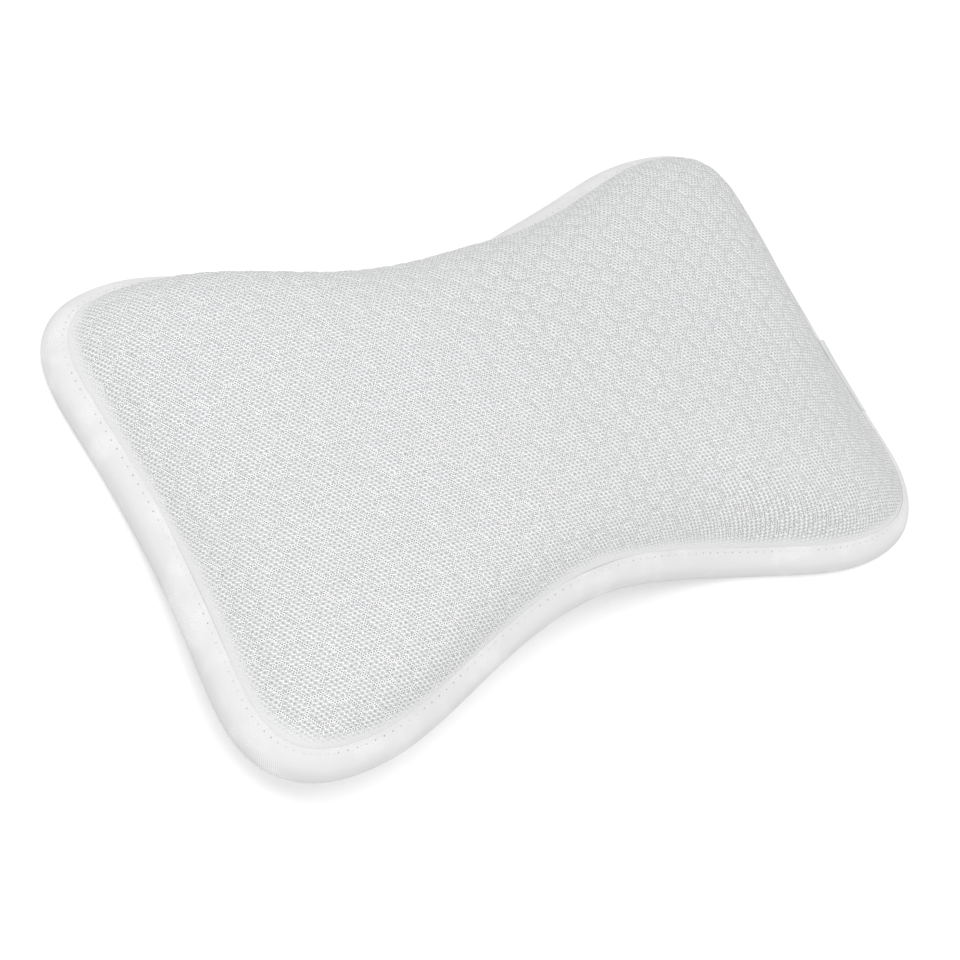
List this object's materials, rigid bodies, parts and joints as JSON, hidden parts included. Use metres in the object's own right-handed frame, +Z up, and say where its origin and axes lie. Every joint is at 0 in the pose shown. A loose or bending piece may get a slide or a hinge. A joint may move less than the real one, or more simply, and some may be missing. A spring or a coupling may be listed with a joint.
{
  "type": "bath pillow",
  "caption": "Bone-shaped bath pillow: crowned spacer-mesh cover with a taped edge over a soft filling, held to a tub by suction cups that turn in straps.",
  "frame": {"origin": "on the resting plane, under the middle of the pillow", "axes": "+X along the pillow, +Y towards its back edge, +Z up through the crown"},
  "size_m": [0.3802, 0.2418, 0.0605],
  "materials": {
    "mesh": "matt white spacer mesh with fine holes",
    "binding": "matt white knitted tape",
    "filling": "soft white fibre pad",
    "cup": "clear soft vinyl, glossy",
    "strap": "white woven webbing"
  },
  "bodies": {
    "pillow": {"top_cover": "mesh", "bottom_cover": "mesh", "filling": "filling", "edge_binding": "binding", "binding_lap": "binding", "cup_strap_1": "strap", "cup_strap_2": "strap", "cup_strap_3": "strap", "cup_strap_4": "strap", "cup_strap_5": "strap", "cup_strap_6": "strap"},
    "cup_1": {"suction_cup_1": "cup"},
    "cup_2": {"suction_cup_2": "cup"},
    "cup_3": {"suction_cup_3": "cup"},
    "cup_4": {"suction_cup_4": "cup"},
    "cup_5": {"suction_cup_5": "cup"},
    "cup_6": {"suction_cup_6": "cup"}
  },
  "joints": [
    {"name": "cup_1_spin", "type": "hinge", "parent": "pillow", "child": "cup_1", "pos_m": [-0.118, -0.058, 0.009], "axis": [0, 0, 1], "continuous": true},
    {"name": "cup_2_spin", "type": "hinge", "parent": "pillow", "child": "cup_2", "pos_m": [-0.118, 0.058, 0.009], "axis": [0, 0, 1], "continuous": true},
    {"name": "cup_3_spin", "type": "hinge", "parent": "pillow", "child": "cup_3", "pos_m": [0, -0.05, 0.009], "axis": [0, 0, 1], "continuous": true},
    {"name": "cup_4_spin", "type": "hinge", "parent": "pillow", "child": "cup_4", "pos_m": [0, 0.05, 0.009], "axis": [0, 0, 1], "continuous": true},
    {"name": "cup_5_spin", "type": "hinge", "parent": "pillow", "child": "cup_5", "pos_m": [0.118, -0.058, 0.009], "axis": [0, 0, 1], "continuous": true},
    {"name": "cup_6_spin", "type": "hinge", "parent": "pillow", "child": "cup_6", "pos_m": [0.118, 0.058, 0.009], "axis": [0, 0, 1], "continuous": true}
  ]
}
